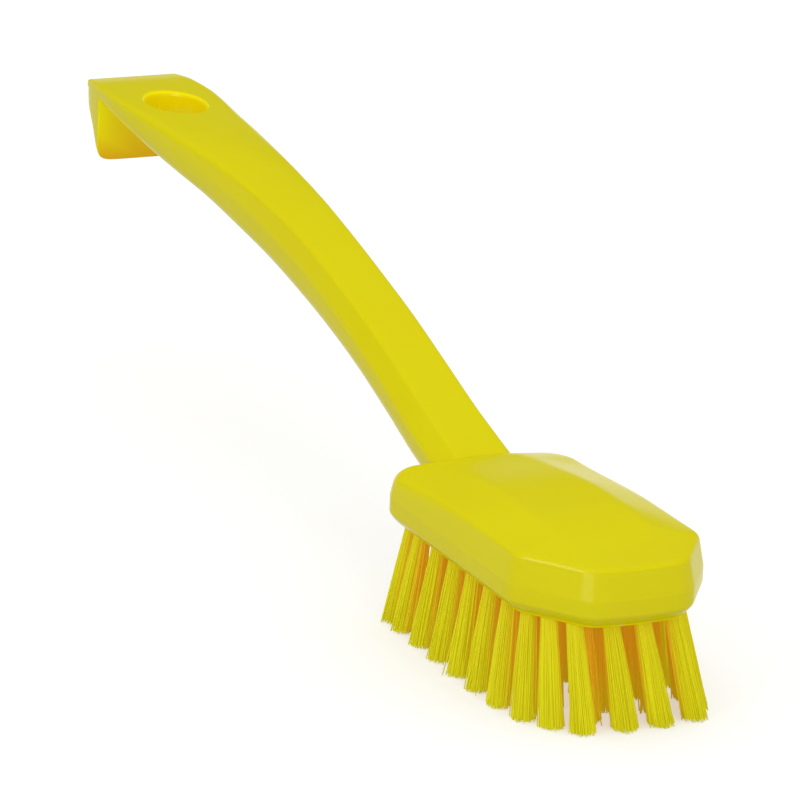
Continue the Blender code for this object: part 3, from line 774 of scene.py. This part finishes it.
def moulding_material(m):
    """Glossy moulded polypropylene: slight patches in tone and gloss, and a fine skin over a slow flow.

    Where its painted-glow attribute rises, painted light stands in for light through the plastic and light
    bounced between its walls: the base colour and the emission turn first to the glow colour, then to the bounce
    colour.
    """
    material, tree, shader = new_material(
        "moulded_polypropylene", m.colour,
        IOR=1.49, Specular_IOR_Level=0.015, Coat_Roughness=0.08, Emission_Strength=m.glow,
    )
    place = node(tree, "TexCoord")
    drift = placed(tree, plastic_drift, Scale=34.0, Stretch=1.6)
    gloss = placed(tree, plastic_drift, Scale=150.0, Stretch=1.2)
    grain = placed(tree, moulded_grain, Fine_Scale=1400.0, Flow_Scale=90.0, Flow=0.75)
    # Painted glow and bounce light: this mask sets the base colour and the emission
    warm = node(tree, "Attribute", attribute_name="warm")
    through = node(tree, "MapRange", From_Max=0.6)
    further = node(tree, "MapRange", From_Min=0.6)
    tone = colour_mix(tree, m.colour, [c * k for c, k in zip(m.colour, PLASTIC_TONE)])
    painted_glow_hue = colour_mix(tree, m.warm_colour, m.deep_colour)
    base = colour_mix(tree, m.colour, m.warm_colour)
    painted_glow_light = colour_mix(tree, (0.0, 0.0, 0.0), m.warm_colour)
    rough = ranged(tree, 0.17, 0.26)
    coat = ranged(tree, 0.18, 0.13)
    bump = node(tree, "Bump", Strength=0.10, Distance=0.0002)
    wire(
        tree,
        *((place, "Object", pattern, "Vector") for pattern in (drift, gloss, grain)),
        (drift, "Patches", tone, "Factor"),
        (warm, "Fac", through, "Value"),
        (warm, "Fac", further, "Value"),
        (further, "Result", painted_glow_hue, "Factor"),
        (through, "Result", base, "Factor"),
        (tone, COLOUR_OUT, base, COLOUR_A),
        (painted_glow_hue, COLOUR_OUT, base, COLOUR_B),
        (base, COLOUR_OUT, shader, "Base Color"),
        # the painted glow, given out as light
        (through, "Result", painted_glow_light, "Factor"),
        (painted_glow_hue, COLOUR_OUT, painted_glow_light, COLOUR_B),
        (painted_glow_light, COLOUR_OUT, shader, "Emission Color"),
        (gloss, "Patches", rough, "Value"),
        (gloss, "Patches", coat, "Value"),
        (rough, "Result", shader, "Roughness"),
        (coat, "Result", shader, "Coat Weight"),
        (grain, "Height", bump, "Height"),
        (bump, "Normal", shader, "Normal"),
    )
    return material


def filament_material(b):
    """Satin polyester filament: each has its own tone; painted shade and bounce light make it deeper orange at
    the root and inside the tuft.
    """
    # The emission is a painted glow over every filament, standing in for light through the filaments
    material, tree, shader = new_material(
        "polyester_filament", b.colour, Specular_IOR_Level=0.06, Emission_Strength=b.glow
    )
    place = node(tree, "TexCoord")
    depth = node(tree, "Attribute", attribute_name="depth")
    tone = node(tree, "Attribute", attribute_name="tone")
    grain = placed(tree, moulded_grain, Fine_Scale=2600.0, Flow_Scale=500.0, Flow=0.5)
    drift = placed(tree, plastic_drift, Scale=220.0, Stretch=1.3)
    painted_shade_mix = colour_mix(tree, b.colour, b.deep_colour)
    vary = colour_mix(tree, b.colour, FILAMENT_TONE)
    vary.blend_type = "MULTIPLY"
    rough = ranged(tree, 0.36, 0.50)
    bump = node(tree, "Bump", Strength=0.2, Distance=0.00005)
    wire(
        tree,
        (place, "Object", grain, "Vector"),
        (place, "Object", drift, "Vector"),
        # the painted shade and bounce colour inside the tuft
        (depth, "Fac", painted_shade_mix, "Factor"),
        (painted_shade_mix, COLOUR_OUT, vary, COLOUR_A),
        (tone, "Fac", vary, "Factor"),
        (vary, COLOUR_OUT, shader, "Base Color"),
        # painted glow: the filament's colour given out as light
        (vary, COLOUR_OUT, shader, "Emission Color"),
        (drift, "Patches", rough, "Value"),
        (rough, "Result", shader, "Roughness"),
        (grain, "Height", bump, "Height"),
        (bump, "Normal", shader, "Normal"),
    )
    return material


def filaments(b, place, lean, outwards, seed):
    """One tuft: filaments packed in a round hole that spread, bend and end a little unevenly.

    Each is a tube round a curve from its seat in a sunflower pattern at the root to the same pattern, wider
    and shaken, at the tips. Returns vertices, faces, and tone and depth at each vertex. The depth is a mask of
    painted shade and bounce light: it grows from the side that faces outwards to the far side and from the tips
    to the root, and is full in inner tufts.
    """
    rng = np.random.default_rng(seed)
    total = b.filaments
    order = np.arange(total)
    radius = np.sqrt((order + 0.5) / total)
    angle = order * GOLDEN_ANGLE + rng.uniform(0, 2 * math.pi)
    seat = np.stack((radius * np.cos(angle), radius * np.sin(angle)), axis=1)
    root = seat * (b.root_radius - b.filament_diameter / 2)
    shake = rng.normal(0, TIP_SHAKE, (total, 2))
    loose = (rng.random(total) < LOOSE_SHARE)[:, None]
    loose = loose * rng.normal(0, b.stray, (total, 2)).clip(-STRAY_LIMIT * b.stray, STRAY_LIMIT * b.stray)
    tip = seat * (b.tip_radius - b.filament_diameter / 2) * rng.uniform(*TIP_SPREAD, (total, 1)) + shake
    tip_height = np.abs(rng.normal(0, b.raggedness, total)).clip(0, MOST_RAGGED)
    t = np.linspace(0.0, 1.0, FILAMENT_STEPS + 1)
    height = (BOTTOM_Z + SEAT_DEPTH) * (1 - t) + tip_height[:, None] * t
    down = (BOTTOM_Z - height) / BOTTOM_Z
    flare = np.clip(down, 0, None)[..., None] ** FLARE_POWER
    bow = rng.normal(0, BOW, (total, 1, 2)) * (4 * t * (1 - t))[:, None]
    centre = root[:, None, :] + (tip - root)[:, None, :] * flare + bow + loose[:, None, :] * flare**3
    centre = centre + place + lean * down[..., None]
    turn = np.linspace(0, 2 * math.pi, FILAMENT_SIDES, endpoint=False) + rng.uniform(0, MOST_TURN, (total, 1, 1))
    thick = b.filament_diameter / 2 * rng.uniform(*THICKNESS_SPREAD, (total, 1, 1))
    thick = thick * (1 - TIP_THINNING * t**3)[:, None]
    x = centre[..., 0:1] + thick * np.cos(turn)
    y = centre[..., 1:2] + thick * np.sin(turn)
    points = np.stack((x, y, np.broadcast_to(height[..., None], x.shape)), axis=-1)
    index = np.arange(x.size).reshape(x.shape)
    turned = np.roll(index, -1, axis=2)
    quads = np.stack((index[:, :-1], index[:, 1:], turned[:, 1:], turned[:, :-1]), axis=-1).reshape(-1, 4)
    caps = index[:, 0].tolist() + index[:, -1, ::-1].tolist()
    # The mask of painted shade and bounce light, from where the tuft faces out and from the tips
    behind = (1 - seat @ outwards) / 2 if outwards.any() else np.ones(total)
    rise = 1 - down.clip(0, 1)
    risen = PAINTED_SHADE_AT_TIPS + (1 - PAINTED_SHADE_AT_TIPS) * step(rise, *RISE_STEP)
    depth = step(behind[:, None], *INSIDE_STEP) * risen + PAINTED_SHADE_AT_ROOT * rise**2
    tone = np.broadcast_to(rng.random(total)[:, None, None], x.shape)
    depth = np.broadcast_to(depth[..., None], x.shape)
    return points.reshape(-1, 3), quads.tolist() + caps, tone.ravel(), depth.clip(0, 1).ravel()


def set_attribute(mesh, name, values):
    """A number for each vertex that a material reads by name."""
    mesh.attributes.new(name, "FLOAT", "POINT").data.foreach_set("value", values.astype(np.float32))


def warmth(m, mesh):
    """How much painted glow each vertex takes, from 0 to 1: painted light that stands in for light passed
    through the plastic and bounced between its walls.

    It is the greatest of smooth steps: on walls that face the hanging hole's axis, on the lip's inner face
    and the handle's underside beside it, and on the block's underside.
    """
    place, normal = np.empty((2, len(mesh.vertices) * 3), np.float32)
    mesh.vertices.foreach_get("co", place)
    mesh.vertices.foreach_get("normal", normal)
    place, normal = place.reshape(-1, 3), normal.reshape(-1, 3)
    x, y, z = place.T
    inner = END_X + m.lip_length
    away = np.sqrt(((x - END_X - m.hole_from_end) / (m.hole_length / 2)) ** 2 + (y / (m.hole_width / 2)) ** 2)
    hole = HOLE_GLOW * step(away, *HOLE_GLOW_STEP) * (1 - normal[:, 2].clip(0, 1) ** HOLE_GLOW_POWER)
    low = step(z - (TOP_Z - m.lip_drop), *LIP_DROP_STEP)
    face = step(np.abs(x - inner), *LIP_FACE_STEP) * step(normal[:, 0], *LIP_TURN_STEP)
    lip = (LIP_GLOW + (1 - LIP_GLOW) * low) * face
    beside = step(x - END_X, *BELLY_STEP) * step(x - inner, *BESIDE_LIP_STEP)
    belly = BELLY_GLOW * beside * step(-normal[:, 2], *BELLY_TURN_STEP)
    base = BASE_GLOW * step(z - BOTTOM_Z, *BASE_GLOW_STEP)
    return np.maximum.reduce((hole, lip, belly, base))


class SCRUB_OT_moulding(bpy.types.Operator):
    """Make the block and the handle in one glossy moulding"""

    bl_idname = "scrub.moulding"
    bl_label = "Moulding"

    def execute(self, context):
        m, b = context.scene.scrub_moulding, context.scene.scrub_bristle
        item = joined(
            "brush_moulding",
            block_form(m),
            (
                ("UNION", handle_form(m)),
                ("UNION", lip_form(m)),
                ("DIFFERENCE", hole_form(m)),
                ("DIFFERENCE", tuft_hole_form(m, b)),
            ),
        )
        if len(item.data.polygons) < FEWEST_FACES:
            raise RuntimeError("the moulding came out empty")
        shade(item, MOULDING_BEND)
        # The mask of painted glow and bounce light that the material reads
        set_attribute(item.data, "warm", warmth(m, item.data))
        item.data.materials.clear()
        item.data.materials.append(moulding_material(m))
        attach(item, "root")
        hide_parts(MOULDING_NODE)
        return {"FINISHED"}


class SCRUB_OT_bristle(bpy.types.Operator):
    """Make every tuft of fine filaments"""

    bl_idname = "scrub.bristle"
    bl_label = "Bristle"

    def execute(self, context):
        m, b = context.scene.scrub_moulding, context.scene.scrub_bristle
        places = tuft_places(m, b)
        leans = tuft_leans(m, b, places)
        outwards = outward_directions(m, b, places)
        if len(places) != len(TUFT_NODES):
            raise RuntimeError("%d tufts for %d nodes" % (len(places), len(TUFT_NODES)))
        material = filament_material(b)
        for number, name in enumerate(TUFT_NODES):
            vertices, faces, tone, depth = filaments(
                b, places[number], leans[number], outwards[number], FIRST_SEED + number
            )
            mesh = mesh_of("bristle_" + name, vertices, faces)
            set_attribute(mesh, "tone", tone)
            # depth: the mask of painted shade and bounce light
            set_attribute(mesh, "depth", depth)
            item = linked("bristle_" + name, mesh)
            shade(item, FILAMENT_BEND)
            mesh.materials.append(material)
            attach(item, "root")
            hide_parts(name)
        return {"FINISHED"}


class SCRUB_OT_studio(bpy.types.Operator):
    """Make the pale floor, the soft lamps and the camera"""

    bl_idname = "scrub.studio"
    bl_label = "Studio"

    def execute(self, context):
        s = context.scene.scrub_studio
        make_floor(s)
        make_surround(s)
        for name, place, aim, size, power, part in LAMPS:
            make_lamp(name, place, aim, size, part * getattr(s, power))
        make_camera(s)
        context.scene.view_settings.view_transform = "Standard"
        return {"FINISHED"}


def ray_of_kind(tree, *kinds):
    """A node that gives 1 where the ray is of one of these kinds: the greatest of the light path's values."""
    path = node(tree, "LightPath")
    last, output = path, kinds[0]
    for kind in kinds[1:]:
        greatest = node(tree, "Math", operation="MAXIMUM")
        wire(tree, (last, output, greatest, 0), (path, kind, greatest, 1))
        last, output = greatest, 0
    return last


def make_floor(s):
    """A flat pale floor that holds the object's shadow and is lifted to white where it is looked at."""
    corners = np.array([(-1, -1, 0), (1, -1, 0), (1, 1, 0), (-1, 1, 0)]) * FLOOR_REACH
    mesh = mesh_of("studio_floor", corners, [(0, 1, 2, 3)])
    item = linked("studio_floor", mesh)
    material, tree, shader = new_material(
        "studio_floor", s.floor_colour, Base_Color=(*s.floor_colour, 1.0), Roughness=0.9, Specular_IOR_Level=0.0
    )
    seen = ray_of_kind(tree, "Is Camera Ray", "Is Transmission Ray", "Is Glossy Ray")
    lift = node(tree, "Emission", Color=(1.0, 1.0, 1.0, 1.0))
    power = node(tree, "Math", operation="MULTIPLY")
    power.inputs[1].default_value = s.floor_lift
    both = node(tree, "AddShader")
    wire(
        tree,
        (seen, 0, power, 0),
        (power, 0, lift, "Strength"),
        (shader, 0, both, 0),
        (lift, 0, both, 1),
        (both, 0, tree.nodes["Material Output"], "Surface"),
    )
    mesh.materials.append(material)


def make_surround(s):
    """Even white light from all round. The camera sees it at full white.

    Shiny surfaces see a pale band along the horizon under a dim sky.
    """
    world = bpy.data.worlds.new("studio_surround")
    bpy.context.scene.world = world
    world.use_nodes = True
    tree = world.node_tree
    background = tree.nodes["Background"]
    background.inputs["Color"].default_value = (1.0, 1.0, 1.0, 1.0)
    path = node(tree, "LightPath")
    seen = ray_of_kind(tree, "Is Camera Ray", "Is Transmission Ray")
    place = node(tree, "TexCoord")
    height = node(tree, "SeparateXYZ")
    band = node(tree, "MapRange", From_Min=0.03, From_Max=0.22, To_Min=s.horizon, To_Max=s.sky)
    light = node(tree, "Mix", data_type="FLOAT")
    light.inputs[NUMBER_A].default_value = s.surround
    power = node(tree, "Mix", data_type="FLOAT")
    power.inputs[NUMBER_B].default_value = 1.0
    wire(
        tree,
        (place, "Generated", height, 0),
        (height, "Z", band, "Value"),
        (path, "Is Glossy Ray", light, "Factor"),
        (band, "Result", light, NUMBER_B),
        (seen, 0, power, "Factor"),
        (light, NUMBER_OUT, power, NUMBER_A),
        (power, NUMBER_OUT, background, "Strength"),
    )


def make_lamp(name, place, aim, size, power):
    """A soft box of that width and height that looks at the aim. A card shows in gloss and lights nothing."""
    light = bpy.data.lights.new(name, "AREA")
    light.shape, light.size, light.size_y, light.energy = "RECTANGLE", size[0], size[1], power
    item = linked(name, light)
    item.location = place
    item.rotation_euler = (Vector(aim) - Vector(place)).to_track_quat("-Z", "Y").to_euler()
    item.visible_camera = False
    if name.endswith("_card"):
        item.visible_diffuse = item.visible_transmission = item.visible_volume_scatter = False


def make_camera(s):
    """The camera at the photograph's place, its turn given by its own right, up and back."""
    data = bpy.data.cameras.new("camera")
    data.sensor_fit, data.sensor_width, data.lens = "HORIZONTAL", SENSOR_WIDTH, s.lens
    data.clip_start, data.clip_end = NEAREST_SEEN, FURTHEST_SEEN
    item = linked("camera", data)
    item.matrix_world = Matrix.Translation(s.camera_place) @ Matrix(CAMERA_TURN).to_4x4()
    bpy.context.scene.camera = item


class SCRUB_PT_panel(bpy.types.Panel):
    """The brush's pieces and their sizes"""

    bl_label = "Scrub brush"
    bl_space_type = "VIEW_3D"
    bl_region_type = "UI"
    bl_category = "Brush"

    def draw(self, context):
        for operator, (settings, kind) in zip(OPERATORS, SETTINGS.items()):
            box = self.layout.box()
            box.operator(operator.bl_idname)
            for name in kind.__annotations__:
                box.prop(getattr(context.scene, settings), name)


SETTINGS = {"scrub_moulding": MouldingSizes, "scrub_bristle": BristleSizes, "scrub_studio": StudioSizes}
OPERATORS = (SCRUB_OT_moulding, SCRUB_OT_bristle, SCRUB_OT_studio)
CLASSES = (*SETTINGS.values(), *OPERATORS, SCRUB_PT_panel)


def register():
    for kind in CLASSES:
        bpy.utils.register_class(kind)
    for name, kind in SETTINGS.items():
        setattr(bpy.types.Scene, name, bpy.props.PointerProperty(type=kind))


def unregister():
    for name in SETTINGS:
        delattr(bpy.types.Scene, name)
    for kind in reversed(CLASSES):
        bpy.utils.unregister_class(kind)


def main():
    """Make every piece and the studio."""
    register()
    bpy.ops.scrub.moulding()
    bpy.ops.scrub.bristle()
    bpy.ops.scrub.studio()


if __name__ == "__main__":
    main()
